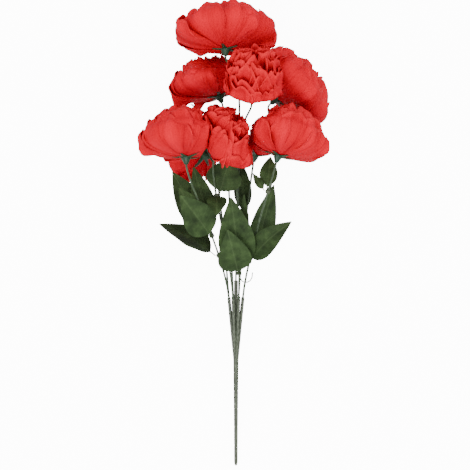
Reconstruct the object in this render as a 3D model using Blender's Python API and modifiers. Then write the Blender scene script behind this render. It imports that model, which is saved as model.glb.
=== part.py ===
"""An artificial carnation bunch that lies on its back on a flat surface.

Nine fabric flower heads stand on plastic-coated wires, which come out of the sockets of one moulded stem.
Fabric leaves hang on small collars on the wires. Sizes are in metres, +Z is up, +Y runs from the stem's end
to the flowers. The bunch is built around its crown, the level of the sockets, and then set down so that
the middle of its footprint is the origin.
"""

import math

import bmesh
import bpy
from mathutils import Matrix, Vector
from mathutils.geometry import interpolate_bezier

GAP = 0.0003  # between pieces that touch

# Main stem: a moulded rod with necks, parting into nine branches that end in sockets
STEM_LENGTH = 0.113  # from the stem's end to where the branches part
STEM_RADIUS = 0.0028  # where the branches part
STEM_END_RADIUS = 0.0019
STEM_SIDES = 14
NECK_COUNT = 5
NECK_SPACING = 0.019
FIRST_NECK = 0.0212  # from the stem's end
NECK_DEPTH = 0.0003
NECK_WIDTH = 0.0016
TIP_LENGTH = 0.0037  # the stem's rounded end
BRANCH_LENGTH = 0.061  # from where they part to the sockets
BRANCH_FOOT_RADIUS = 0.0014
SOCKET_RADIUS = 0.0018
BRANCH_SIDES = 8
PARTING_RING = 0.0012  # how far the branches' feet stand off the stem's axis
CROWN_RING = 0.0076  # how far the sockets stand off it
CENTRE_BRANCH_EXTRA = 0.018  # the middle branch is longer and thicker
CENTRE_SOCKET_RADIUS = 0.0021
CROWN_HEIGHT = 0.035  # of the crown over the surface

# Wires
WIRE_RADIUS = 0.001
WIRE_POINTS = 13
WIRE_LEAD = 0.3  # how straight a wire leaves its socket, as a share of its span
WIRE_ARRIVAL = 0.015  # length over which it turns to the flower head's axis

# Calyx: a cup with five sepals
CUP_FOOT_RADIUS = 0.0018
CUP_RADIUS = 0.0046
CUP_HEIGHT = 0.0075
SEPAL_LENGTH = 0.012  # past the cup's rim
SEPAL_RISE = 0.15  # slope of a sepal, out along the petals
SEPAL_THICKNESS = 0.0008
SEPALS = 5
CALYX_SIDES = 20

# Petals
PETAL_DROP = 0.014  # from a head's widest level down to its calyx
UNDERSIDE_POWER = 1.7  # 1 is a cone under the head, 2 a round bowl
TOP_POWER = 2.6  # 2 is a round top, more is a fuller one
PETAL_THICKNESS = 0.002  # of the plain solid that stands for several layers
PETAL_CLEARANCE = 0.0011  # between the outer and inner petals, which are both faceted
HEAD_CLEARANCE = 0.0006  # from the petals to other heads, wires, calyxes and leaves
PETAL_SIDES = 20
PETAL_RINGS = 8
RIM_LATITUDE = 0.45  # the outer petals' rim, as the sine of its angle over the head's widest level
PETAL_LOBES = 7
LOBE_DEPTH = 0.05  # share of the radius
REACH = 1.2  # neighbours further from a head's middle than this share of its radius are left alone

# Leaves and their collars
LEAF_THICKNESS = 0.0008
LEAF_STATIONS = 8
STALK_SHARE = 0.14  # of a leaf's length
STALK_HALF_WIDTH = 0.0007
LEAF_FOLD = 0.18  # how far the blade's halves rise from the midrib, as a share of the half width
COLLAR_RADIUS = 0.0024
COLLAR_BORE = WIRE_RADIUS + GAP
COLLAR_LENGTH = 0.0036
COLLAR_SIDES = 12

# Tendril
TENDRIL_RADIUS = 0.0006

# Each head: calyx foot as (x, y past the crown, height), facing, petal radius, petal height,
# socket angle in degrees round the stem (none is the middle one)
HEADS = (
    ((-0.0103, 0.240, 0.066), (-0.02, 0.93, -0.33), 0.050, 0.050, None),
    ((-0.0143, 0.194, 0.044), (-0.30, 0.90, -0.22), 0.046, 0.050, 247.5),
    ((0.0157, 0.192, 0.087), (0.05, 0.84, 0.54), 0.031, 0.056, 67.5),
    ((0.0352, 0.193, 0.043), (0.70, 0.66, -0.22), 0.049, 0.052, 337.5),
    ((-0.0493, 0.131, 0.095), (-0.06, 0.96, -0.24), 0.044, 0.053, 157.5),
    ((-0.0207, 0.137, 0.074), (0.45, 0.78, 0.43), 0.043, 0.054, 112.5),
    ((0.0177, 0.134, 0.046), (0.15, 0.98, -0.10), 0.040, 0.053, 292.5),
    ((0.0403, 0.133, 0.088), (0.25, 0.94, -0.20), 0.045, 0.055, 22.5),
    ((-0.0273, 0.139, 0.040), (-0.60, 0.30, -0.74), 0.032, 0.038, 202.5),
)

# A wire that bends round its neighbours passes this place on its way, by head
BENDS = {1: (0.003, 0.205, 0.050), 3: (0.002, 0.150, 0.061), 4: (0.041, 0.138, 0.030)}

# Each collar: the head whose wire holds it, counted from 1, and its distance past the crown
COLLARS = ((3, 0.022), (8, 0.034), (5, 0.040), (5, 0.060), (6, 0.100), (7, 0.080), (8, 0.104))

# Each leaf: its collar, the side of the collar it leaves from, its tip as (x, y past the crown, height),
# its width, its roll about its length in degrees and its arch
LEAVES = (
    (1, (-0.2, 0.3, 1.0), (-0.0083, 0.066, 0.077), 0.034, 0, 0.006),
    (2, (0.3, 0.2, 1.0), (0.0557, 0.074, 0.070), 0.027, -25, 0.008),
    (3, (-1.0, 0.3, 0.0), (-0.0770, 0.0715, 0.047), 0.038, 58, 0.003),
    (4, (-0.3, 0.4, 1.0), (-0.0553, 0.100, 0.091), 0.034, 8, 0.004),
    (1, (0.05, 0.9, 0.22), (-0.0050, 0.098, 0.0795), 0.037, 0, 0.003),
    (2, (-1.0, 0.2, 0.2), (0.0085, 0.101, 0.072), 0.016, -40, 0.001),
    (2, (0.7, 0.3, -1.0), (0.0380, 0.111, 0.054), 0.026, 20, 0.002),
    (4, (-0.8, 0.4, -0.8), (-0.0640, 0.124, 0.040), 0.030, 0, 0.001),
    (4, (-1.0, 0.3, -0.1), (-0.0570, 0.108, 0.062), 0.026, 10, 0.002),
    (4, (0.2, 0.6, -1.0), (-0.0425, 0.129, 0.053), 0.024, 0, 0.002),
    (5, (0.9, 0.5, -0.5), (-0.0060, 0.138, 0.062), 0.036, 0, 0.001),
    (5, (0.2, -0.4, 1.0), (-0.0190, 0.080, 0.092), 0.020, 0, 0.003),
    (6, (-0.8, 0.3, -1.0), (0.0050, 0.136, 0.040), 0.018, 0, 0.001),
    (7, (-0.3, 0.4, -1.0), (0.0345, 0.139, 0.062), 0.018, 0, 0.002),
    (7, (-1.0, 0.3, 0.2), (0.0170, 0.122, 0.071), 0.008, 0, 0.001),
)

# The tendril's loop, as (x, y past the crown, height)
TENDRIL = (
    (0.0036, 0.0215, 0.0530),
    (0.0043, 0.0175, 0.0545),
    (0.0061, 0.0143, 0.0550),
    (0.0092, 0.0129, 0.0552),
    (0.0118, 0.0133, 0.0552),
    (0.0143, 0.0147, 0.0552),
    (0.0161, 0.0178, 0.0550),
    (0.0167, 0.0230, 0.0545),
)

GREEN_PLASTIC = (0.085, 0.120, 0.070)
CALYX_GREEN = (0.020, 0.095, 0.045)
LEAF_GREEN = (0.045, 0.095, 0.030)
RED_FABRIC = (0.800, 0.020, 0.030)


def clear_scene():
    for item in list(bpy.data.objects):
        bpy.data.objects.remove(item)


def new_collection(name):
    group = bpy.data.collections.new(name)
    bpy.context.scene.collection.children.link(group)
    return group


def new_material(name, colour, roughness):
    material = bpy.data.materials.new(name)
    material.use_nodes = True
    shader = material.node_tree.nodes["Principled BSDF"]
    shader.inputs["Base Color"].default_value = (*colour, 1.0)
    shader.inputs["Roughness"].default_value = roughness
    return material


def add_piece(name, data, group, material, place=None):
    piece = bpy.data.objects.new(name, data)
    data.materials.append(material)
    if place is not None:
        piece.matrix_world = place
    group.objects.link(piece)
    return piece


def as_mesh(shape, name):
    mesh = bpy.data.meshes.new(name)
    shape.to_mesh(mesh)
    shape.free()
    return mesh


def turned_to(direction):
    """A rotation that turns +Z to the direction."""
    return Vector((0, 0, 1)).rotation_difference(Vector(direction)).to_matrix().to_4x4()


def smooth(mesh, angle=40):
    mesh.shade_smooth()
    mesh.set_sharp_from_angle(angle=math.radians(angle))


# The main stem


def stem_start():
    """The middle of the stem's end. The full rod just past its rounded end rests on the surface."""
    length = STEM_LENGTH + BRANCH_LENGTH
    slope = math.atan2(CROWN_HEIGHT, length)
    height = STEM_END_RADIUS * math.cos(slope) - TIP_LENGTH * math.sin(slope)
    return Vector((0, -length, height))


def stem_direction():
    return (Vector((0, 0, CROWN_HEIGHT)) - stem_start()).normalized()


def rod_radius(along):
    """The rod's radius at a distance from its end: a taper, with a neck between moulded lengths."""
    taper = STEM_END_RADIUS + (STEM_RADIUS - STEM_END_RADIUS) * (along / STEM_LENGTH) ** 1.5
    phase = (along - FIRST_NECK) / NECK_SPACING
    nearest = round(phase)
    if 0 <= nearest < NECK_COUNT and abs(phase - nearest) * NECK_SPACING < NECK_WIDTH / 4:
        return taper - NECK_DEPTH
    return taper


def rod_profile():
    """Half the rod's outline from top to bottom, as (radius, distance from its end)."""
    stations = [TIP_LENGTH * 0.35, TIP_LENGTH]
    for neck in range(NECK_COUNT):
        middle = FIRST_NECK + neck * NECK_SPACING
        stations += [middle - NECK_WIDTH / 2, middle, middle + NECK_WIDTH / 2]
    stations.append(STEM_LENGTH + BRANCH_FOOT_RADIUS)
    outline = [(rod_radius(along), along) for along in reversed(stations)]
    outline[-1] = (STEM_END_RADIUS * 0.8, TIP_LENGTH * 0.35)
    top = stations[-1]
    return [(0, top)] + outline + [(STEM_END_RADIUS * 0.45, 0), (0, 0)]


def branch_direction_out(angle):
    """The unit vector from the stem's axis to a socket at this angle, seen from the flowers."""
    across = Vector((1, 0, 0))
    upward = stem_direction().cross(across) * -1
    turn = math.radians(angle)
    return across * math.cos(turn) + upward * math.sin(turn)


def branch_ends(angle):
    """A branch's foot and socket mouth. An angle of None is the middle branch."""
    along = stem_direction()
    foot = stem_start() + along * (STEM_LENGTH - 2 * STEM_RADIUS)
    crown = stem_start() + along * (STEM_LENGTH + BRANCH_LENGTH)
    if angle is None:
        return foot, crown + along * CENTRE_BRANCH_EXTRA
    out = branch_direction_out(angle)
    return foot + out * PARTING_RING, crown + out * CROWN_RING


def branch_shape(name, angle, cutters):
    foot, mouth = branch_ends(angle)
    shape = bmesh.new()
    bmesh.ops.create_cone(
        shape,
        cap_ends=True,
        segments=BRANCH_SIDES,
        radius1=BRANCH_FOOT_RADIUS,
        radius2=SOCKET_RADIUS if angle is not None else CENTRE_SOCKET_RADIUS,
        depth=(mouth - foot).length,
    )
    mesh = as_mesh(shape, name)
    turn = Matrix.Rotation(math.radians(angle or 9.0), 4, "Z")
    place = Matrix.Translation((foot + mouth) / 2) @ turned_to(mouth - foot) @ turn
    guide = bpy.data.objects.new(name, mesh)
    guide.matrix_world = place
    guide.hide_render = True
    guide.display_type = "WIRE"
    cutters.objects.link(guide)
    return guide


def add_main_stem(group, cutters, material):
    outline = rod_profile()
    mesh = bpy.data.meshes.new("main_stem")
    edges = [(i, i + 1) for i in range(len(outline) - 1)]
    mesh.from_pydata([(radius, 0, along) for radius, along in outline], edges, [])
    place = Matrix.Translation(stem_start()) @ turned_to(stem_direction())
    stem = add_piece("main_stem", mesh, group, material, place)
    turned = stem.modifiers.new("turned", "SCREW")
    turned.steps = STEM_SIDES
    turned.render_steps = STEM_SIDES
    turned.use_merge_vertices = True
    turned.merge_threshold = 0.00001
    for number, head in enumerate(HEADS, 1):
        joined = stem.modifiers.new(f"branch_{number}", "BOOLEAN")
        joined.operation = "UNION"
        joined.object = branch_shape(f"branch_shape_{number}", head[-1], cutters)
    return stem


# Wires


def wire_route(number):
    """Points along a wire, from its socket's mouth to the foot of its calyx."""
    place, facing, _, _, angle = HEADS[number - 1]
    foot, mouth = branch_ends(angle)
    facing = Vector(facing).normalized()
    leaving = (mouth - foot).normalized()
    start = mouth + leaving * GAP
    tip = Vector(place) - facing * GAP
    end = tip - facing * WIRE_RADIUS * 2
    if number not in BENDS:
        lead = leaving * (end - start).length * WIRE_LEAD
        arrival = end - facing * WIRE_ARRIVAL
        return interpolate_bezier(start, start + lead, arrival, end, WIRE_POINTS) + [tip]
    bend = Vector(BENDS[number])
    lead = (bend - start).length * WIRE_LEAD
    through = (end - start).normalized() * lead
    first = interpolate_bezier(start, start + leaving * lead, bend - through, bend, WIRE_POINTS)
    arrival = end - facing * WIRE_ARRIVAL / 2
    return first + interpolate_bezier(bend, bend + through / 2, arrival, end, WIRE_POINTS)[1:] + [tip]


def add_tube(name, route, radius, group, material):
    curve = bpy.data.curves.new(name, "CURVE")
    curve.dimensions = "3D"
    curve.bevel_depth = radius
    curve.bevel_resolution = 2
    curve.use_fill_caps = True
    spline = curve.splines.new("POLY")
    spline.points.add(len(route) - 1)
    for point, at in zip(spline.points, route):
        point.co = (*at, 1)
    return add_piece(name, curve, group, material)


# Calyxes


def head_place(number, head):
    """The matrix from a head's own frame, with its calyx foot at the origin and +Z facing out."""
    place, facing = head[0], head[1]
    turn = Matrix.Rotation(math.radians(37 * number), 4, "Z")
    return Matrix.Translation(Vector(place)) @ turned_to(facing) @ turn


def calyx_mesh(name):
    """A turned cup whose thin rim is drawn out into sepals."""
    tip = CUP_RADIUS + SEPAL_LENGTH
    top = CUP_HEIGHT - GAP
    thin = SEPAL_THICKNESS
    outline = (
        (0, 0),
        (CUP_FOOT_RADIUS, 0),
        (CUP_RADIUS, top - 2 * thin),
        (CUP_RADIUS + SEPAL_LENGTH * 0.5, top - thin + SEPAL_LENGTH * 0.5 * SEPAL_RISE),
        (tip, top - thin * 0.5 + SEPAL_LENGTH * SEPAL_RISE),
        (CUP_RADIUS + SEPAL_LENGTH * 0.5, top + SEPAL_LENGTH * 0.5 * SEPAL_RISE),
        (CUP_RADIUS, top),
        (0, top),
    )
    shape = bmesh.new()
    points = [shape.verts.new((radius, 0, height)) for radius, height in outline]
    edges = [shape.edges.new(pair) for pair in zip(points, points[1:])]
    bmesh.ops.spin(
        shape,
        geom=points + edges,
        cent=(0, 0, 0),
        axis=(0, 0, 1),
        angle=2 * math.pi,
        steps=CALYX_SIDES,
        use_merge=True,
    )
    bmesh.ops.remove_doubles(shape, verts=shape.verts, dist=0.00001)
    for point in shape.verts:
        radius = math.hypot(point.co.x, point.co.y)
        if radius > CUP_RADIUS * 1.01:
            angle = math.atan2(point.co.y, point.co.x)
            share = 0.5 + 0.5 * math.cos(SEPALS * angle)
            kept = CUP_RADIUS + (radius - CUP_RADIUS) * max(share, 0.06)
            point.co.z -= (radius - kept) * SEPAL_RISE
            point.co.x *= kept / radius
            point.co.y *= kept / radius
    bmesh.ops.recalc_face_normals(shape, faces=shape.faces)
    mesh = as_mesh(shape, name)
    smooth(mesh)
    return mesh


# Petals


def head_middle(head):
    """The middle of a head, on its axis at its widest level."""
    facing = Vector(head[1]).normalized()
    return Vector(head[0]) + facing * (CUP_HEIGHT + PETAL_DROP)


def side_facing(middle, radius, points):
    """The plane that keeps a head off a neighbour's points, as a direction and a distance."""
    near = [point - middle for point in points if (point - middle).length < radius * REACH]
    if not near:
        return None
    direction = min(near, key=lambda point: point.length).normalized()
    return direction, min(direction.dot(point) for point in near) - HEAD_CLEARANCE


def limits(number, neighbours):
    """Every plane that a head's petals are pressed flat against."""
    middle = head_middle(HEADS[number - 1])
    radius = HEADS[number - 1][2]
    planes = [(Vector((0, 0, -1)), middle.z)]
    for other, head in enumerate(HEADS, 1):
        away = head_middle(head) - middle
        if other != number:
            share = radius / (radius + head[2])
            planes.append((away.normalized(), away.length * share - HEAD_CLEARANCE))
    for points in neighbours:
        plane = side_facing(middle, radius, points)
        if plane:
            planes.append(plane)
    return planes


def petal_shape(head, shrink, place, planes):
    """A ball drawn out to the head's size and pressed against the planes, in the head's own frame."""
    _, _, radius, height, _ = head
    wide = radius - shrink
    low = PETAL_DROP - shrink
    high = height - PETAL_DROP - shrink
    level = CUP_HEIGHT + PETAL_DROP
    shape = bmesh.new()
    bmesh.ops.create_uvsphere(shape, u_segments=PETAL_SIDES, v_segments=PETAL_RINGS, radius=1)
    middle = place @ Vector((0, 0, level))
    back = place.inverted()
    for point in shape.verts:
        x, y, z = point.co
        out = math.hypot(x, y)
        power = UNDERSIDE_POWER if z < 0 else TOP_POWER
        fit = (out**power + abs(z) ** power) ** (-1 / power)
        lobe = 1 + LOBE_DEPTH * out * math.cos(PETAL_LOBES * math.atan2(y, x))
        side = wide * fit * lobe
        at = Vector((x * side, y * side, level + z * fit * (low if z < 0 else high)))
        ray = place @ at - middle
        for direction, distance in planes:
            reach = direction.dot(ray)
            if reach > distance - shrink:
                ray *= (distance - shrink) / reach
        point.co = back @ (middle + ray)
    return shape


def add_petals(number, head, neighbours, group, material):
    place = head_place(number, head)
    planes = limits(number, neighbours)
    shape = petal_shape(head, 0, place, planes)
    level = CUP_HEIGHT + PETAL_DROP
    middle = Vector((0, 0, level))
    over = [v for v in shape.verts if (v.co - middle).normalized().z > RIM_LATITUDE]
    bmesh.ops.delete(shape, geom=over, context="VERTS")
    mesh = as_mesh(shape, f"outer_petals_{number}")
    smooth(mesh, 60)
    outer = add_piece(f"outer_petals_{number}", mesh, group, material, place)
    layers = outer.modifiers.new("layers", "SOLIDIFY")
    layers.thickness = PETAL_THICKNESS
    layers.offset = -1
    shrink = PETAL_THICKNESS * 1.5 + PETAL_CLEARANCE
    mesh = as_mesh(petal_shape(head, shrink, place, planes), f"inner_petals_{number}")
    smooth(mesh, 60)
    add_piece(f"inner_petals_{number}", mesh, group, material, place)


# Leaves and their collars


def point_past_crown(route, distance):
    """The place and direction of a route where it passes this distance along Y from the crown."""
    for start, end in zip(route, route[1:]):
        if start.y <= distance <= end.y:
            share = (distance - start.y) / (end.y - start.y)
            return start.lerp(end, share), (end - start).normalized()
    raise ValueError("a collar is past its wire's end")


def add_collar(number, route, group, material):
    _, distance = COLLARS[number - 1]
    middle, along = point_past_crown(route, distance)
    shape = bmesh.new()
    corners = (
        (COLLAR_BORE, COLLAR_LENGTH / 2),
        (COLLAR_RADIUS * 0.8, COLLAR_LENGTH / 2),
        (COLLAR_RADIUS, 0),
        (COLLAR_RADIUS * 0.8, -COLLAR_LENGTH / 2),
        (COLLAR_BORE, -COLLAR_LENGTH / 2),
    )
    points = [shape.verts.new((radius, 0, height)) for radius, height in corners]
    edges = [shape.edges.new(pair) for pair in zip(points, points[1:] + points[:1])]
    bmesh.ops.spin(
        shape,
        geom=points + edges,
        cent=(0, 0, 0),
        axis=(0, 0, 1),
        angle=2 * math.pi,
        steps=COLLAR_SIDES,
        use_merge=True,
    )
    bmesh.ops.remove_doubles(shape, verts=shape.verts, dist=0.00001)
    bmesh.ops.recalc_face_normals(shape, faces=shape.faces)
    mesh = as_mesh(shape, f"leaf_collar_{number}")
    smooth(mesh)
    place = Matrix.Translation(middle) @ turned_to(along)
    add_piece(f"leaf_collar_{number}", mesh, group, material, place)
    return middle, along


def blade_half_width(share, width):
    """Half of a leaf's width at a share of its length: a stalk, then an ovate blade."""
    if share <= STALK_SHARE:
        return STALK_HALF_WIDTH
    blade = (share - STALK_SHARE) / (1 - STALK_SHARE)
    oval = math.sin(math.pi * blade**0.75) ** 0.8 if blade < 1 else 0
    return max(STALK_HALF_WIDTH, width / 2 * oval)


def leaf_points(leaf, collars):
    """The leaf's places by station: left edge, midrib, right edge."""
    collar, side, tip, width, roll, arch = leaf
    middle, along = collars[collar - 1]
    side = Vector(side)
    side = (side - along * side.dot(along)).normalized()
    start = middle + side * (COLLAR_RADIUS + GAP + LEAF_THICKNESS)
    tip = Vector(tip)
    length = (tip - start).normalized()
    face = Vector((0, 0, 1))
    face = (face - length * face.dot(length)).normalized()
    face = Matrix.Rotation(math.radians(roll), 3, length) @ face
    across = length.cross(face)
    bend = start.lerp(tip, 0.4) + face * 2 * arch
    rows = []
    for station in range(LEAF_STATIONS + 1):
        t = station / LEAF_STATIONS
        spine = (1 - t) ** 2 * start + 2 * t * (1 - t) * bend + t * t * tip
        half = blade_half_width(t, width)
        lift = face * half * LEAF_FOLD
        rows.append((spine - across * half + lift, spine, spine + across * half + lift))
    return rows


def add_leaf(number, collars, group, material):
    rows = leaf_points(LEAVES[number - 1], collars)
    shape = bmesh.new()
    bmesh.ops.create_grid(shape, x_segments=2, y_segments=LEAF_STATIONS, size=1)
    shape.verts.ensure_lookup_table()
    for index, point in enumerate(shape.verts):
        point.co = rows[index // 3][index % 3]
    mesh = as_mesh(shape, f"leaf_{number}")
    smooth(mesh, 60)
    leaf = add_piece(f"leaf_{number}", mesh, group, material)
    fabric = leaf.modifiers.new("fabric", "SOLIDIFY")
    fabric.thickness = LEAF_THICKNESS
    fabric.offset = 0
    return [corner for row in rows for corner in row]


def world_points(piece):
    return [piece.matrix_world @ point.co for point in piece.data.vertices]


def set_down(pieces):
    """Moves the bunch so that the middle of its footprint is the origin and its lowest point is at 0."""
    bpy.context.view_layer.update()
    graph = bpy.context.evaluated_depsgraph_get()
    points = []
    for piece in pieces:
        found = piece.evaluated_get(graph)
        mesh = found.to_mesh()
        points += [found.matrix_world @ point.co for point in mesh.vertices]
        found.to_mesh_clear()
    low = [min(point[i] for point in points) for i in range(3)]
    high = [max(point[i] for point in points) for i in range(3)]
    move = Vector((-(low[0] + high[0]) / 2, -(low[1] + high[1]) / 2, -low[2]))
    for piece in bpy.data.objects:
        piece.matrix_world = Matrix.Translation(move) @ piece.matrix_world


def build():
    clear_scene()
    bunch = new_collection("carnation_bunch")
    cutters = new_collection("branch_shapes")
    plastic = new_material("green_plastic", GREEN_PLASTIC, 0.5)
    calyx_plastic = new_material("calyx_plastic", CALYX_GREEN, 0.45)
    leaf_fabric = new_material("leaf_fabric", LEAF_GREEN, 0.7)
    red_fabric = new_material("red_fabric", RED_FABRIC, 0.75)
    add_main_stem(bunch, cutters, plastic)
    routes = [wire_route(number) for number in range(1, len(HEADS) + 1)]
    for number, route in enumerate(routes, 1):
        add_tube(f"stem_wire_{number}", route, WIRE_RADIUS, bunch, plastic)
    collars = []
    for number, (head, _) in enumerate(COLLARS, 1):
        collars.append(add_collar(number, routes[head - 1], bunch, plastic))
    leaves = []
    for number in range(1, len(LEAVES) + 1):
        leaves.append(add_leaf(number, collars, bunch, leaf_fabric))
    route = [Vector(point) for point in TENDRIL]
    add_tube("tendril", route, TENDRIL_RADIUS, bunch, plastic)
    calyxes = []
    for number, head in enumerate(HEADS, 1):
        mesh = calyx_mesh(f"calyx_{number}")
        place = head_place(number, head)
        calyxes.append(add_piece(f"calyx_{number}", mesh, bunch, calyx_plastic, place))
    for number, head in enumerate(HEADS, 1):
        neighbours = list(leaves)
        neighbours += [world_points(c) for i, c in enumerate(calyxes, 1) if i != number]
        neighbours += [route for i, route in enumerate(routes, 1) if i != number]
        add_petals(number, head, neighbours, bunch, red_fabric)
    set_down(bunch.objects)


build()
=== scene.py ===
import math

import bpy
import numpy as np
from mathutils import Matrix, Vector
from mathutils.bvhtree import BVHTree


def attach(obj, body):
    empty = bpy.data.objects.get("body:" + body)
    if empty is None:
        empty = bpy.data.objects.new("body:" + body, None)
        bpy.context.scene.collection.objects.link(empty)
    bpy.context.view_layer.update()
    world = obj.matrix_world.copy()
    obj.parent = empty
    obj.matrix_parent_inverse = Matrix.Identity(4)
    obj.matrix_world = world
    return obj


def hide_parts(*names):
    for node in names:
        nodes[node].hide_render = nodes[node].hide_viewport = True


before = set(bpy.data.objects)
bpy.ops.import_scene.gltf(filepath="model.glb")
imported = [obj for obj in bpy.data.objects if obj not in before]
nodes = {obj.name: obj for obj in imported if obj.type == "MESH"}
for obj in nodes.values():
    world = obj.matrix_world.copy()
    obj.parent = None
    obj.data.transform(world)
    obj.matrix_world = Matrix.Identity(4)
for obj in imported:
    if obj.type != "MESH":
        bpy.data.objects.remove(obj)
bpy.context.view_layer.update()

# Stem, wires and tendril.
# One moulded polyethylene rod whose neck marks and nine branches come out of the mould together, with
# plastic-coated steel wires pushed into the branches' sockets. Satin grey-green, paler where it is scuffed.


def linear(hex_colour):
    """An sRGB hex colour as linear RGBA."""
    parts = [int(hex_colour[i : i + 2], 16) / 255 for i in (1, 3, 5)]
    return [c / 12.92 if c <= 0.04045 else ((c + 0.055) / 1.055) ** 2.4 for c in parts] + [1.0]


def add(tree, kind, settings=None, inputs=None):
    """Adds a node. An input is a value, or another node's output to link."""
    node = tree.nodes.new(kind)
    for name, value in (settings or {}).items():
        setattr(node, name, value)
    for name, value in (inputs or {}).items():
        if isinstance(value, bpy.types.NodeSocket):
            tree.links.new(value, node.inputs[name])
        else:
            node.inputs[name].default_value = value
    return node


def new_material(name, **shader_inputs):
    """A material with only its shader, and the two to build on."""
    material = bpy.data.materials.new(name)
    material.use_nodes = True
    tree = material.node_tree
    tree.nodes.clear()
    shader = add(tree, "ShaderNodeBsdfPrincipled", {}, shader_inputs)
    add(tree, "ShaderNodeOutputMaterial", {}, {"Surface": shader.outputs["BSDF"]})
    return material, tree, shader


def ramp(tree, value, stops):
    """A colour for each part of 0 to 1, from (place, hex colour) stops."""
    node = add(tree, "ShaderNodeValToRGB", {}, {"Fac": value})
    elements = node.color_ramp.elements
    while len(elements) < len(stops):
        elements.new(0.5)
    for element, (place, colour) in zip(elements, stops):
        element.position = place
        element.color = linear(colour)
    return node.outputs["Color"]


def green_plastic(name, dark, mid, pale, roughness):
    """Moulded polyethylene: satin, with flow streaks along the rod and fine scuffs that catch the light."""
    material, tree, shader = new_material(name, Roughness=roughness)
    shader.inputs["IOR"].default_value = 1.51
    shader.inputs["Specular IOR Level"].default_value = 0.25
    place = add(tree, "ShaderNodeTexCoord").outputs["Object"]
    streaks = add(tree, "ShaderNodeMapping", {}, {"Vector": place, "Scale": (1500, 130, 1500)})
    flow = add(tree, "ShaderNodeTexNoise", {}, {"Vector": streaks.outputs[0], "Scale": 1.0, "Detail": 3.0})
    colour = ramp(tree, flow.outputs[0], ((0.3, dark), (0.5, mid), (0.72, pale)))
    tree.links.new(colour, shader.inputs["Base Color"])
    scuffs = add(tree, "ShaderNodeTexNoise", {}, {"Vector": place, "Scale": 1600.0, "Detail": 4.0})
    bump = add(tree, "ShaderNodeBump", {}, {"Strength": 0.35, "Distance": 0.0002, "Height": scuffs.outputs[0]})
    tree.links.new(bump.outputs[0], shader.inputs["Normal"])
    return material


stem_plastic = green_plastic("moulded_polyethylene_grey_green", "#2b3025", "#3d4436", "#626a5a", 0.42)
wire_coat = green_plastic("extruded_wire_coat_green", "#222c1e", "#33422c", "#52624a", 0.38)
tendril_plastic = green_plastic("moulded_polyethylene_olive", "#2a3122", "#3a4330", "#545d48", 0.45)

nodes["main_stem"].data.materials.clear()
nodes["main_stem"].data.materials.append(stem_plastic)
for number in range(1, 10):
    nodes[f"stem_wire_{number}"].data.materials.clear()
    nodes[f"stem_wire_{number}"].data.materials.append(wire_coat)
nodes["tendril"].data.materials.clear()
nodes["tendril"].data.materials.append(tendril_plastic)

# Calyxes.
# Each is one soft green moulding: a ribbed cup on the wire, with five long thin sepals that lie along the
# outer petals. The sepals are brownish towards their tips, where the red shows through the thin plastic.

SEED = 7
SEPALS = 5
CUP_HEIGHT = 0.0075
CUP_RIBS = 10
PETAL_DROP = 0.014  # from a head's widest level down to its cup
FAR = 0.2  # a place well outside a head, to look back at it from

# The cup's turned outline, as (radius, height) from the foot up the outside, over the lip and in.
CUP_OUTLINE = (
    (0.0017, 0),
    (0.0021, 0.0002),
    (0.0024, 0.0012),
    (0.0032, 0.003),
    (0.0041, 0.005),
    (0.0047, 0.0064),
    (0.0046, 0.0072),
    (0.0041, 0.0075),
    (0.002, 0.0074),
    (0.0001, 0.0074),
)


def points_of(name):
    """The places of a CAD node's corners, each once."""
    places = np.array([corner.co for corner in nodes[name].data.vertices])
    return np.unique(places.round(6), axis=0)


def head_frame(number):
    """A head's calyx foot and three directions, the last one out along its axis and the first to a sepal."""
    calyx = points_of(f"calyx_{number}")
    centre = calyx.mean(axis=0)
    _, axes = np.linalg.eigh(np.cov((calyx - centre).T))
    out = axes[:, 0]
    if (points_of(f"inner_petals_{number}").mean(axis=0) - centre) @ out < 0:
        out = -out
    foot = centre + out * ((calyx - centre) @ out).min()
    off_axis = calyx - foot - np.outer((calyx - foot) @ out, out)
    tip = off_axis[np.linalg.norm(off_axis, axis=1).argmax()]
    first = tip / np.linalg.norm(tip)
    return foot, np.array([first, np.cross(out, first), out])


def head_reach(number, middle, directions):
    """How far a head's CAD solids reach from its middle, by latitude and angle, softened at their edges."""
    trees = []
    for node in (nodes[f"outer_petals_{number}"], nodes[f"inner_petals_{number}"]):
        corners = [corner.co.copy() for corner in node.data.vertices]
        trees.append(BVHTree.FromPolygons(corners, [tuple(face.vertices) for face in node.data.polygons]))
    rows, columns = 61, 120
    angles = np.linspace(0, 2 * math.pi, columns, endpoint=False)
    found = np.zeros((rows, columns))
    for row, latitude in enumerate(np.linspace(-math.pi / 2, math.pi / 2, rows)):
        for column, angle in enumerate(angles):
            level = math.cos(latitude)
            local = (level * math.cos(angle), level * math.sin(angle), math.sin(latitude))
            way = Vector(local @ directions)
            far = Vector(middle) + way * FAR
            hits = [tree.ray_cast(far, -way)[3] for tree in trees]
            found[row, column] = FAR - min([hit for hit in hits if hit is not None] or [FAR])
    for _ in range(3):
        soft = (np.roll(found, 1, 1) + np.roll(found, -1, 1) + found * 2) / 4
        soft[1:-1] = (soft[2:] + soft[:-2] + soft[1:-1] * 2) / 4
        found = np.minimum(soft, found * 1.02)
    return found


def reach_at(table, latitude, angle):
    """Looks up head_reach's table between its rows and columns."""
    rows, columns = table.shape
    row = np.clip((latitude / math.pi + 0.5) * (rows - 1), 0, rows - 1.001)
    column = (angle / (2 * math.pi)) % 1 * columns
    r, c = row.astype(int), column.astype(int) % columns
    dr, dc = row - r, column - column.astype(int)
    right = (c + 1) % columns
    low = table[r, c] * (1 - dc) + table[r, right] * dc
    high = table[r + 1, c] * (1 - dc) + table[r + 1, right] * dc
    return low * (1 - dr) + high * dr


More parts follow.
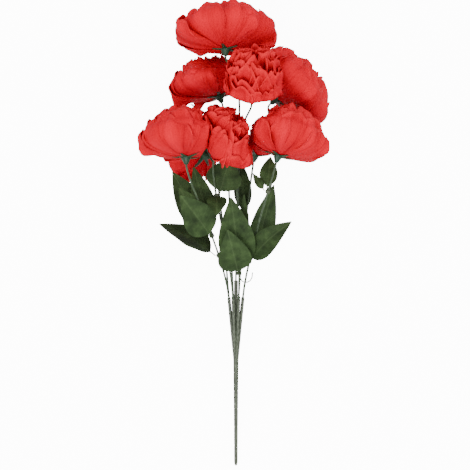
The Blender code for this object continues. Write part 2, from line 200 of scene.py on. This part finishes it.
def at(head, latitude, angle, distance):
    """Places in a head's own terms: an angle over its widest level, an angle round it, and a distance."""
    level = np.cos(latitude)
    local = np.stack([level * np.cos(angle), level * np.sin(angle), np.sin(latitude)], axis=-1)
    return head["middle"] + (local * distance[..., None]) @ head["directions"]


def new_piece(name, points, faces, material, attributes=None, uv=None):
    """A smooth mesh object at the origin, with its place in its mesh."""
    mesh = bpy.data.meshes.new(name)
    mesh.from_pydata([tuple(p) for p in points], [], faces)
    for key, values in (attributes or {}).items():
        mesh.attributes.new(key, "FLOAT", "POINT").data.foreach_set("value", np.asarray(values, np.float32))
    if uv is not None:
        corners = np.zeros(len(mesh.loops), np.int32)
        mesh.loops.foreach_get("vertex_index", corners)
        layer = mesh.uv_layers.new(name="cloth")
        layer.data.foreach_set("uv", np.asarray(uv, np.float32)[corners].ravel())
    mesh.materials.append(material)
    mesh.shade_smooth()
    piece = bpy.data.objects.new(name, mesh)
    bpy.context.scene.collection.objects.link(piece)
    return piece


def grid_faces(rows, columns, start=0, round_trip=False):
    """Quads between rows of points. With round_trip the last column joins the first."""
    faces = []
    for row in range(rows - 1):
        for column in range(columns if round_trip else columns - 1):
            right = (column + 1) % columns
            low, high = start + row * columns, start + (row + 1) * columns
            faces.append((low + column, low + right, high + right, high + column))
    return faces


def closed_strip(under, over, start):
    """The faces of a thin closed strip between two grids of places, which meet along their outline."""
    rows, columns = under.shape[:2]
    top = start + rows * columns
    faces = [tuple(reversed(face)) for face in grid_faces(rows, columns, start)]
    faces += grid_faces(rows, columns, top)
    ring = list(range(columns)) + [row * columns + columns - 1 for row in range(1, rows)]
    ring += [(rows - 1) * columns + column for column in range(columns - 2, -1, -1)]
    ring += [row * columns for row in range(rows - 2, 0, -1)]
    for a, b in zip(ring, ring[1:] + ring[:1]):
        faces.append((start + a, start + b, top + b, top + a))
    return faces


def add_calyx(number, head):
    """The turned cup and its sepals, which follow the underside of the head's petals."""
    sides = 40
    rib_height = 0.035  # share of the radius
    plain_foot = 0.0022  # the ribs start where the cup is wider than this
    places, share = [], []
    for radius, height in CUP_OUTLINE:
        for side in range(sides):
            angle = 2 * math.pi * side / sides
            ribbed = radius * (1 + rib_height * math.cos(CUP_RIBS * angle) * (radius > plain_foot))
            places.append((ribbed * math.cos(angle), ribbed * math.sin(angle), height))
            share.append(0.0)
    faces = grid_faces(len(CUP_OUTLINE), sides, 0, True)
    faces.append(tuple(reversed(range(sides))))
    faces.append(tuple((len(CUP_OUTLINE) - 1) * sides + side for side in range(sides)))
    places = list(head["foot"] + np.array(places) @ head["directions"])
    random = np.random.default_rng(SEED + 300 + number)
    stations, across = 18, 7
    # t runs from a sepal's root to its tip, and s across it
    t = np.linspace(0, 1, stations)[:, None] * np.ones((1, across))
    s = np.linspace(-1, 1, across)[None, :] * np.ones((stations, 1))
    for sepal in range(SEPALS):
        length = random.uniform(0.0190, 0.0250)
        turn = 2 * math.pi * sepal / SEPALS + random.uniform(-0.12, 0.12)
        from_axis = 0.0036 + length * t * 0.92
        # a few rounds find where the petals' underside is, that far from the axis
        latitude = -np.arctan(PETAL_DROP / from_axis)
        for _ in range(6):
            level = from_axis / reach_at(head["reach"], latitude, turn + 0 * t)
            latitude = -np.arccos(np.clip(level, 0.01, 0.999))
        half = 0.0024 * (1 - t) ** 0.7 * (1 - 0.3 * np.sin(math.pi * t)) + 0.0002
        angle = turn + (s * half + random.uniform(-0.0012, 0.0012) * t * t) / from_axis
        lift = 0.0008 + 0.0006 * np.sin(3 * t + sepal) + random.uniform(0.0, 0.0016) * t**2
        keel = 0.0005 * (1 - np.abs(s)) * (1 - 0.5 * t)
        wall = 0.00026 * np.sqrt(1 - s * s + 0.02) * (1 - 0.4 * t)
        distance = reach_at(head["reach"], latitude, angle) + lift
        under = at(head, latitude, angle, distance + keel + wall)
        over = at(head, latitude, angle, distance + keel * 0.4 - wall)
        faces += closed_strip(over, under, len(places))
        places += list(over.reshape(-1, 3)) + list(under.reshape(-1, 3))
        share += list(t.ravel()) * 2
    return new_piece(f"calyx_ribbed_{number}", places, faces, calyx_plastic, {"along_sepal": share})


calyx_plastic, tree, shader = new_material("soft_moulded_polyethylene_calyx", Roughness=0.45)
# moulded thin: bluish green at the cup, going brown over the red, with a soft gloss on the ribs
shader.inputs["IOR"].default_value = 1.51
shader.inputs["Specular IOR Level"].default_value = 0.3
along_sepal = add(tree, "ShaderNodeAttribute", {"attribute_name": "along_sepal"}).outputs["Fac"]
place = add(tree, "ShaderNodeTexCoord").outputs["Object"]
mottle = add(tree, "ShaderNodeTexNoise", {}, {"Vector": place, "Scale": 450.0, "Detail": 3.0}).outputs[0]
shift = add(tree, "ShaderNodeMath", {"operation": "MULTIPLY_ADD"}, {0: mottle, 1: 0.35, 2: -0.17}).outputs[0]
reach = add(tree, "ShaderNodeMath", {"operation": "ADD"}, {0: along_sepal, 1: shift}).outputs[0]
stops = ((0.0, "#12331f"), (0.15, "#1c3a22"), (0.5, "#2e331f"), (0.95, "#4a2a1e"))
tree.links.new(ramp(tree, reach, stops), shader.inputs["Base Color"])
bump = add(tree, "ShaderNodeBump", {}, {"Strength": 0.3, "Distance": 0.0002, "Height": mottle})
tree.links.new(bump.outputs[0], shader.inputs["Normal"])

heads = {}
for number in range(1, 10):
    foot, directions = head_frame(number)
    middle = foot + directions[2] * (CUP_HEIGHT + PETAL_DROP)
    reach = head_reach(number, middle, directions)
    heads[number] = {"foot": foot, "directions": directions, "middle": middle, "reach": reach}
    calyx = add_calyx(number, heads[number])
    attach(calyx, "root")
    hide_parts(f"calyx_{number}")

# Flower heads.
# Each is a stack of red polyester satin layers, cut as scalloped rounds of three to five petals, heat-set into
# folds and threaded on the wire above the calyx. The outer layers lie open, and the inner ones stand crumpled.

FABRIC = 0.0003  # thickness of the satin

# Each layer: petals, how high its rim stands as an angle over the widest level, overlap, folds, frill.
LAYERS = (
    (5, 36, 1.34, 0.018, 0.060),
    (5, 50, 1.36, 0.020, 0.060),
    (5, 62, 1.40, 0.022, 0.065),
    (5, 71, 1.40, 0.024, 0.070),
    (4, 79, 1.50, 0.026, 0.085),
    (3, 86, 1.60, 0.028, 0.095),
)
OUTER_LAYERS = 3
CALYX_LATITUDE = -86  # degrees, where every petal starts, beside the cup
OPEN_TOP = 55  # degrees: a layer whose rim stands higher than this is drawn in towards the axis
LAYER_STEP = 0.038  # how far a layer lies inside the next one out, as a share of the head's reach
LIFT = 0.003  # petals lower than this are pressed by the surface under the bunch
LEAST_LIFT = 0.0006


def wrapped(random, angle, waves):
    """A smooth value round the axis, from a few sine waves that meet after a full turn."""
    total = np.zeros_like(angle)
    for wave in waves:
        total += np.sin(wave * angle + random.uniform(0, 2 * math.pi)) * random.uniform(0.5, 1)
    return total / len(waves) ** 0.5


def smooth_step(value, low, high):
    """0 below low and 1 above high, with no corner between."""
    t = np.clip((value - low) / (high - low), 0, 1)
    return t * t * (3 - 2 * t)


def petal(number, layer, turned, random, rows, columns):
    """One petal's grid of places, and what the satin's material reads: painted fold shading, the rim, and
    painted shade by depth.
    """
    head = heads[number]
    count, top, overlap, folds, frill = LAYERS[layer]
    # u runs across the petal, and v from the calyx to its rim
    u = np.linspace(-1, 1, columns)[None, :] * np.ones((rows, 1))
    v = np.linspace(0, 1, rows)[:, None] * np.ones((1, columns))
    steep = min(1.0, max(0.0, (top - OPEN_TOP) / 30))
    half = math.pi / count * overlap * random.uniform(0.90, 1.10)
    angle = turned + u * half * (0.80 + 0.20 * np.sin(np.clip(v * 1.15, 0, 1) * math.pi / 2))
    # the cut edge: rounded corners and a few scallops
    lobes = random.integers(4, 7)
    shift = random.uniform(-0.3, 0.3) + 0.08 * np.sin(5 * u)
    scallop = np.abs(np.sin((u + shift) * math.pi * lobes / 2)) ** 0.75
    cut = 15 * np.abs(u) ** 3 + 18 * np.abs(u) ** 8 - 9 * (scallop - 0.6) * (1 - 0.4 * steep)
    cut += wrapped(random, u * math.pi, (1, 2)) * 2.4 + wrapped(random, u * math.pi, (7, 9)) * 0.5
    peak = top + random.uniform(-14, 7) * (1 - 0.5 * steep) - cut * (1 - 0.4 * steep)
    latitude = np.radians(CALYX_LATITUDE + (peak - CALYX_LATITUDE) * v**0.92)
    # under the layers outside it, and drawn in towards the axis where it stands up
    below = -np.degrees(latitude)
    rims = [LAYERS[other][1] for other in range(layer)]
    covered = sum((smooth_step(below, -14 - outer_rim, 2 - outer_rim) for outer_rim in rims), 0 * u)
    depth = (1 - LAYER_STEP * covered) * (1 - steep * 0.72 * np.sin(np.clip(v, 0, 1) * math.pi) ** 0.8)
    # folds that run from the calyx to the rim, a few sharp creases, and waves along the rim
    shared = np.random.default_rng(SEED + number)
    fold = wrapped(shared, angle + 0.3 * v, [int(wave) for wave in shared.integers(3, 12, 5)])
    fold += 0.30 * wrapped(random, angle, (9, 14, 19)) * (1 - 0.6 * steep)
    creases = np.zeros_like(u)
    for _ in range(5):
        line = random.uniform(-0.85, 0.85) + 0.10 * np.sin(v * 3 + random.uniform(0, 6))
        creases += np.exp(-(((u - line) / random.uniform(0.018, 0.040)) ** 2)) * smooth_step(v, 0.1, 0.5)
    ripple = wrapped(random, u * math.pi, (1.3, 2, 3) if layer > 2 else (1.5, 2.5, 4))
    # each petal lies over one neighbour and under the other
    share = depth + 0.036 * u * (1 - 0.4 * steep) + random.uniform(-0.012, 0.030) * smooth_step(v, 0.4, 1)
    share += folds * fold * v**1.3 - 0.018 * creases
    share += frill * ripple * smooth_step(v, 0.60, 1.0)
    # the rim curls out where no neighbouring head presses on it
    room = reach_at(head["reach"], latitude, angle)
    widest = np.percentile(head["reach"], 80, axis=1)[:, None] * np.ones_like(head["reach"])
    free = smooth_step(room / reach_at(widest, latitude, angle), 0.80, 0.97)
    share = np.where(share > 1, 1 + (share - 1) * free, share)
    curl = smooth_step(v, 0.74, 1.0) * (0.13 + 0.10 * np.sin(u * 4 + 6 * random.uniform(0, 1))) * free
    latitude = latitude - curl * (0.9 + 0.8 * steep) + np.radians(7) * steep * ripple * v * v
    distance = np.clip(share + curl * 0.30, 0.02, 1 + 0.11 * free) * room
    # painted shading: lighter on the fold crests and rim waves, darker in the fold valleys and creases
    painted_fold_shading = 0.5 + 0.42 * fold + 0.25 * ripple * v - 0.55 * creases
    rim = np.maximum(v, 0.97 * smooth_step(np.abs(u), 0.93, 1.0))
    spots = at(head, latitude, angle, distance)
    # the lowest petals are pressed flat by the surface the bunch lies on
    height = spots[..., 2]
    give = LIFT - LEAST_LIFT
    pressed = LEAST_LIFT + give * np.exp((height - LIFT) / give)
    spots[..., 2] = np.where(height < LIFT, pressed, height)
    # the last value is painted shade, more where the petal lies under outer layers or is drawn in towards the
    # axis
    return spots, u * half * 0.045, v * 0.07, painted_fold_shading, rim, 1 - depth


def add_petals(name, number, layers):
    """Some of a head's layers as one piece of satin."""
    rows, columns = 26, 52
    places, faces, uv, painted_fold_shading, rim, painted_layer_shade = [], [], [], [], [], []
    for layer in layers:
        random = np.random.default_rng(SEED * 1000 + number * 50 + layer)
        count = LAYERS[layer][0]
        start_angle = random.uniform(0, 2 * math.pi)
        for index in range(count):
            turned = start_angle + (index + random.uniform(-0.10, 0.10)) * 2 * math.pi / count
            spots, across, along, *read = petal(number, layer, turned, random, rows, columns)
            faces += grid_faces(rows, columns, len(places))
            places.extend(spots.reshape(-1, 3))
            uv.extend(np.stack([across + index * 0.1, along + layer * 0.1], axis=-1).reshape(-1, 2))
            for values, found in zip((painted_fold_shading, rim, painted_layer_shade), read):
                values.extend(found.ravel())
    # attributes for the satin: the rim, painted fold shading, and painted shade for layers deep in the head
    petals = new_piece(name, places, faces, satin, {"painted_fold_shading": painted_fold_shading, "rim": rim, "painted_layer_shade": painted_layer_shade}, uv)
    wall = petals.modifiers.new("fabric", "SOLIDIFY")
    wall.thickness = FABRIC
    wall.offset = -1
    return petals


satin, tree, shader = new_material("heat_set_polyester_satin_red", Roughness=0.60)
# dyed woven satin: saturated red, with painted shade that darkens it in the folds, creases and between layers
# and painted light on the fold crests, a paler cut edge, fine ribs
shader.inputs["IOR"].default_value = 1.45
shader.inputs["Specular IOR Level"].default_value = 0.04
# painted fold shading: lighter on the crests, darker in the valleys and creases
painted_fold_shading = add(tree, "ShaderNodeAttribute", {"attribute_name": "painted_fold_shading"}).outputs["Fac"]
rim = add(tree, "ShaderNodeAttribute", {"attribute_name": "rim"}).outputs["Fac"]
# painted shade for the layers that lie deep inside the head
painted_layer_shade = add(tree, "ShaderNodeAttribute", {"attribute_name": "painted_layer_shade"}).outputs["Fac"]
cloth = add(tree, "ShaderNodeUVMap", {"uv_map": "cloth"}).outputs["UV"]
place = add(tree, "ShaderNodeTexCoord").outputs["Object"]
blotch = add(tree, "ShaderNodeTexNoise", {}, {"Vector": place, "Scale": 70.0, "Detail": 4.0}).outputs[0]
# ribs about 1.2 mm apart run from the calyx to the rim
rib_place = add(tree, "ShaderNodeMapping", {}, {"Vector": cloth, "Scale": (800, 45, 1)}).outputs[0]
ribs = add(tree, "ShaderNodeTexNoise", {}, {"Vector": rib_place, "Scale": 1.0, "Detail": 3.0}).outputs[0]
# the tone adds painted shading from the folds, creases and deep layers to the ribs and a random blotch in the
# dye
tone_and_painted_shade = add(tree, "ShaderNodeMath", {"operation": "MULTIPLY_ADD"}, {0: painted_fold_shading, 1: 0.40, 2: 0.02}).outputs[0]
tone_and_painted_shade = add(tree, "ShaderNodeMath", {"operation": "MULTIPLY_ADD"}, {0: ribs, 1: 0.60, 2: tone_and_painted_shade}).outputs[0]
tone_and_painted_shade = add(tree, "ShaderNodeMath", {"operation": "MULTIPLY_ADD"}, {0: blotch, 1: 0.25, 2: tone_and_painted_shade}).outputs[0]
tone_and_painted_shade = add(tree, "ShaderNodeMath", {"operation": "MULTIPLY_ADD"}, {0: painted_layer_shade, 1: -0.22, 2: tone_and_painted_shade}).outputs[0]
# its darker stops carry the painted shade as well as the dye's own variation
stops = ((0.05, "#8a0012"), (0.32, "#b00017"), (0.58, "#c2021c"), (0.95, "#d40a26"))
body = ramp(tree, tone_and_painted_shade, stops)
edge = add(tree, "ShaderNodeMapRange", {}, {"Value": rim, "From Min": 0.94, "From Max": 1.0, "To Max": 0.55})
mix_inputs = {"Factor": edge.outputs[0], 6: body, 7: linear("#e4242e")}
mixed = add(tree, "ShaderNodeMix", {"data_type": "RGBA"}, mix_inputs)
tree.links.new(mixed.outputs[2], shader.inputs["Base Color"])
# the weave's threads are 0.15 mm apart, drawn at 0.5 mm so that they show
weave_place = add(tree, "ShaderNodeMapping", {}, {"Vector": cloth, "Scale": (2000, 2000, 1)}).outputs[0]
threads = add(tree, "ShaderNodeTexVoronoi", {}, {"Vector": weave_place, "Scale": 1.0, "Randomness": 0.35})
height_inputs = {0: ribs, 1: 2.2, 2: threads.outputs[0]}
height = add(tree, "ShaderNodeMath", {"operation": "MULTIPLY_ADD"}, height_inputs).outputs[0]
bump = add(tree, "ShaderNodeBump", {}, {"Strength": 0.8, "Distance": 0.0004, "Height": height})
tree.links.new(bump.outputs[0], shader.inputs["Normal"])

for number in heads:
    for kind, layers in (("outer", range(OUTER_LAYERS)), ("inner", range(OUTER_LAYERS, len(LAYERS)))):
        petals = add_petals(f"{kind}_satin_{number}", number, layers)
        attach(petals, "root")
        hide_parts(f"{kind}_petals_{number}")

# Leaves.
# Die-cut polyester leaves, printed dark green and pressed with a midrib and side veins. The stalk of each
# is fixed in a moulded collar that slides on its wire.

STALK_SHARE = 0.13  # of a leaf's length
STALK_HALF_WIDTH = 0.0006
LEAF_FOLD = 0.18  # how far the blade's halves rise from the midrib, as a share of the half width
LEAF_FABRIC = 0.0005  # thickness


def leaf_lines(number):
    """A CAD leaf's foot, bend, tip, half width and the directions across it and out of its face."""
    places = points_of(f"leaf_{number}")
    centre = places.mean(axis=0)
    _, axes = np.linalg.eigh(np.cov((places - centre).T))
    length = axes[:, 2]
    along = (places - centre) @ length
    span = along.max() - along.min()

    def wide(share):
        near = places[np.abs(along - along.min() - share * span) < 0.05 * span]
        return np.ptp(near, axis=0).max() if len(near) else 0
    if wide(0.10) > wide(0.90):
        length, along = -length, -along
    foot = places[along < along.min() + 0.004 * span + 0.0006].mean(axis=0)
    tip = places[along > along.max() - 0.004 * span - 0.0006].mean(axis=0)
    length = (tip - foot) / np.linalg.norm(tip - foot)
    reach = (places - foot) @ length / np.linalg.norm(tip - foot)
    station = places[np.abs(reach - (0.8 * 0.5 + 0.2 * 0.25)) < 0.03]
    off = station - station.mean(axis=0)
    pair = off[np.linalg.norm(off, axis=1).argmax()]
    across = pair - length * (pair @ length)
    across /= np.linalg.norm(across)
    sideways = off @ across
    edges = station[np.abs(sideways) > np.abs(sideways).max() * 0.7]
    spine = station[np.abs(sideways) < np.abs(sideways).max() * 0.4].mean(axis=0)
    lifted = edges.mean(axis=0) - spine
    face = lifted - length * (lifted @ length)
    face /= np.linalg.norm(face)
    across = np.cross(length, face)
    half = np.ptp(off @ across) / 2
    bend = (spine - 0.25 * foot - 0.25 * tip) / 0.5
    return foot, bend, tip, half, across, face


def leaf_fabric_material():
    """Printed polyester: dark green with paler veins, matt, with a fine weave."""
    material, tree, shader = new_material("printed_polyester_leaf_green", Roughness=0.68)
    shader.inputs["IOR"].default_value = 1.45
    shader.inputs["Specular IOR Level"].default_value = 0.12
    vein = add(tree, "ShaderNodeAttribute", {"attribute_name": "vein"}).outputs["Fac"]
    cloth = add(tree, "ShaderNodeUVMap", {"uv_map": "cloth"}).outputs["UV"]
    place = add(tree, "ShaderNodeTexCoord").outputs["Object"]
    blotch = add(tree, "ShaderNodeTexNoise", {}, {"Vector": place, "Scale": 90.0, "Detail": 5.0}).outputs[0]
    printed = ramp(tree, blotch, ((0.28, "#1b2714"), (0.5, "#29391e"), (0.74, "#394c2a")))
    shade = add(tree, "ShaderNodeMath", {"operation": "MULTIPLY"}, {0: vein, 1: 0.17}).outputs[0]
    mix_inputs = {"Factor": shade, 6: printed, 7: linear("#5a6b48")}
    mixed = add(tree, "ShaderNodeMix", {"data_type": "RGBA"}, mix_inputs)
    tree.links.new(mixed.outputs[2], shader.inputs["Base Color"])
    # a plain weave of 0.2 mm threads, drawn at 0.6 mm so that it shows
    weave_place = add(tree, "ShaderNodeMapping", {}, {"Vector": cloth, "Scale": (1650, 1650, 1)}).outputs[0]
    threads = add(tree, "ShaderNodeTexVoronoi", {}, {"Vector": weave_place, "Scale": 1.0, "Randomness": 0.3})
    bump = add(tree, "ShaderNodeBump", {}, {"Strength": 0.3, "Distance": 0.0002, "Height": threads.outputs[0]})
    tree.links.new(bump.outputs[0], shader.inputs["Normal"])
    return material


leaf_fabric = leaf_fabric_material()
for number in range(1, 16):
    foot, bend, tip, half, across, face = leaf_lines(number)
    rows, columns = 60, 31
    random = np.random.default_rng(SEED + 100 + number)
    t = np.linspace(0, 1, rows)[:, None] * np.ones((1, columns))
    s = np.linspace(-1, 1, columns)[None, :] * np.ones((rows, 1))
    blade = np.clip((t - STALK_SHARE) / (1 - STALK_SHARE), 0, 1)
    oval = np.sin(math.pi * blade**0.75) ** 0.8 * (1 - 0.10 * blade**6)
    width = np.maximum(STALK_HALF_WIDTH, half * oval)
    waves = wrapped(random, t * math.pi * 2, (1, 2, 3)) * 0.0006 * s * s * oval
    side_vein = np.abs(((t * 9 - np.abs(s) * 1.6) % 1) - 0.5) * 2
    side_vein = smooth_step(side_vein, 0.80, 1.0) * smooth_step(1 - np.abs(s), 0.0, 0.35) * oval
    midrib = np.exp(-((np.abs(s) * width / 0.0006) ** 2))
    vein = np.clip(midrib + 0.55 * side_vein, 0, 1)
    spine = ((1 - t) ** 2)[..., None] * foot + (2 * t * (1 - t))[..., None] * bend + (t * t)[..., None] * tip
    fold = LEAF_FOLD * width * np.abs(s) ** 1.25
    height = fold + waves + 0.00028 * midrib - 0.00016 * side_vein
    spots = spine + (s * width)[..., None] * across + height[..., None] * face
    length = np.linalg.norm(tip - foot)
    uv = np.stack([s * width, t * length], axis=-1).reshape(-1, 2)
    leaf = new_piece(f"leaf_fabric_{number}", spots.reshape(-1, 3), grid_faces(rows, columns), leaf_fabric,
                     {"vein": vein.ravel()}, uv)
    cloth_wall = leaf.modifiers.new("fabric", "SOLIDIFY")
    cloth_wall.thickness = LEAF_FABRIC
    cloth_wall.offset = 0
    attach(leaf, "root")
    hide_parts(f"leaf_{number}")

# Leaf collars.
# Short moulded ferrules that grip the wires and hold the leaf stalks. Each has a rounded wall and fine ribs
# round it, for pushing it along its wire by hand.


def ribbed_collar_tree():
    """A ferrule on the Z axis: a tube wall swept round a circle, with ribs instanced on its outside."""
    tree = bpy.data.node_groups.new("ribbed_collar", "GeometryNodeTree")
    kinds = {"Radius": "Float", "Bore": "Float", "Length": "Float", "Ribs": "Int", "Plastic": "Material"}
    for name, kind in kinds.items():
        tree.interface.new_socket(name=name, in_out="INPUT", socket_type="NodeSocket" + kind)
    tree.interface.new_socket(name="Collar", in_out="OUTPUT", socket_type="NodeSocketGeometry")
    sizes = tree.nodes.new("NodeGroupInput").outputs
    radius, bore, length = sizes["Radius"], sizes["Bore"], sizes["Length"]
    wall = add(tree, "ShaderNodeMath", {"operation": "SUBTRACT"}, {0: radius, 1: bore}).outputs[0]
    both = add(tree, "ShaderNodeMath", {"operation": "ADD"}, {0: radius, 1: bore}).outputs[0]
    middle = add(tree, "ShaderNodeMath", {"operation": "MULTIPLY"}, {0: both, 1: 0.5}).outputs[0]
    round_trip = add(tree, "GeometryNodeCurvePrimitiveCircle", {}, {"Resolution": 28, "Radius": middle})
    circle = round_trip.outputs["Curve"]
    section = add(tree, "GeometryNodeCurvePrimitiveQuadrilateral", {}, {"Width": wall, "Height": length})
    rounded = add(tree, "GeometryNodeFilletCurve", {"mode": "POLY"},
                  {"Curve": section.outputs[0], "Count": 3, "Radius": 0.0003})
    tube = add(tree, "GeometryNodeCurveToMesh", {}, {"Curve": circle, "Profile Curve": rounded.outputs[0]})
    rib_length = add(tree, "ShaderNodeMath", {"operation": "MULTIPLY"}, {0: length, 1: 0.75}).outputs[0]
    rib = add(tree, "GeometryNodeMeshCylinder", {}, {"Vertices": 6, "Radius": 0.00022, "Depth": rib_length})
    ring = add(tree, "GeometryNodeMeshCircle", {}, {"Vertices": sizes["Ribs"], "Radius": radius})
    rib_inputs = {"Points": ring.outputs[0], "Instance": rib.outputs[0]}
    ribs = add(tree, "GeometryNodeInstanceOnPoints", {}, rib_inputs)
    joined = add(tree, "GeometryNodeJoinGeometry")
    tree.links.new(tube.outputs[0], joined.inputs[0])
    tree.links.new(ribs.outputs[0], joined.inputs[0])
    real = add(tree, "GeometryNodeRealizeInstances", {}, {"Geometry": joined.outputs[0]})
    soft = add(tree, "GeometryNodeSetShadeSmooth", {}, {"Geometry": real.outputs[0]})
    coat_inputs = {"Geometry": soft.outputs[0], "Material": sizes["Plastic"]}
    coloured = add(tree, "GeometryNodeSetMaterial", {}, coat_inputs)
    add(tree, "NodeGroupOutput", {}, {0: coloured.outputs[0]})
    return tree


COLLAR_SIZES = {"Radius": 0.0023, "Bore": 0.0013, "Ribs": 12}

collar_tree = ribbed_collar_tree()
collar_inputs = {item.name: item.identifier for item in collar_tree.interface.items_tree}
for number in range(1, 8):
    places = points_of(f"leaf_collar_{number}")
    centre = places.mean(axis=0)
    spread, axes = np.linalg.eigh(np.cov((places - centre).T))
    alone = 2 if spread[2] - spread[1] > spread[1] - spread[0] else 0
    axis = axes[:, alone]
    length = np.ptp((places - centre) @ axis)
    shell = bpy.data.objects.new("collar_shape", bpy.data.meshes.new("collar_shape"))
    bpy.context.scene.collection.objects.link(shell)
    build = shell.modifiers.new("collar", "NODES")
    build.node_group = collar_tree
    for name, value in {**COLLAR_SIZES, "Length": float(length), "Plastic": tendril_plastic}.items():
        build[collar_inputs[name]] = value
    graph = bpy.context.evaluated_depsgraph_get()
    mesh = bpy.data.meshes.new_from_object(shell.evaluated_get(graph))
    bpy.data.objects.remove(shell)
    turn = Vector(axis).to_track_quat("Z", "Y").to_matrix().to_4x4()
    mesh.transform(Matrix.Translation(Vector(centre)) @ turn)
    collar = bpy.data.objects.new(f"collar_ribbed_{number}", mesh)
    bpy.context.scene.collection.objects.link(collar)
    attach(collar, "root")
    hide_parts(f"leaf_collar_{number}")

# Floor, light and camera.
# The bunch lies on a near-white paper floor under wide soft lights, seen from straight above with the
# flowers away from the viewer.

CAMERA_HEIGHT = 4.0
FRAME_WIDTH = 0.4715

mesh = bpy.data.meshes.new("paper_floor")
mesh.from_pydata([(-3, -3, -0.0004), (3, -3, -0.0004), (3, 3, -0.0004), (-3, 3, -0.0004)], [], [(0, 1, 2, 3)])
floor = bpy.data.objects.new("paper_floor", mesh)
bpy.context.scene.collection.objects.link(floor)
paper, tree, shader = new_material("matt_white_paper", Roughness=0.9)
shader.inputs["Base Color"].default_value = linear("#f7f7f6")
shader.inputs["Emission Color"].default_value = (1, 1, 1, 1)
shader.inputs["Emission Strength"].default_value = 11.0  # lit from below, as on a light table
mesh.materials.append(paper)
floor.visible_diffuse = False
floor.visible_glossy = False


def add_light(name, place, target, size, power):
    lamp = bpy.data.lights.new(name, "AREA")
    lamp.shape = "DISK"
    lamp.size = size
    lamp.energy = power
    light = bpy.data.objects.new(name, lamp)
    light.location = place
    light.rotation_euler = (Vector(target) - Vector(place)).to_track_quat("-Z", "Y").to_euler()
    bpy.context.scene.collection.objects.link(light)


add_light("key", (-0.7, -0.9, 2.3), (0, 0, 0.05), 1.6, 56)
add_light("fill", (1.1, 0.7, 2.0), (0, 0, 0.05), 2.0, 30)
world = bpy.data.worlds.new("studio")
world.use_nodes = True
world.node_tree.nodes["Background"].inputs["Color"].default_value = (1, 1, 1, 1)
world.node_tree.nodes["Background"].inputs["Strength"].default_value = 1.42
bpy.context.scene.world = world

camera_data = bpy.data.cameras.new("camera")
camera_data.sensor_width = 36
middle_height = 0.060
camera_data.lens = 36 * (CAMERA_HEIGHT - middle_height) / FRAME_WIDTH
camera_data.clip_end = 50
camera = bpy.data.objects.new("camera", camera_data)
camera.location = (0.0, 0.0, CAMERA_HEIGHT)
bpy.context.scene.collection.objects.link(camera)
bpy.context.scene.camera = camera
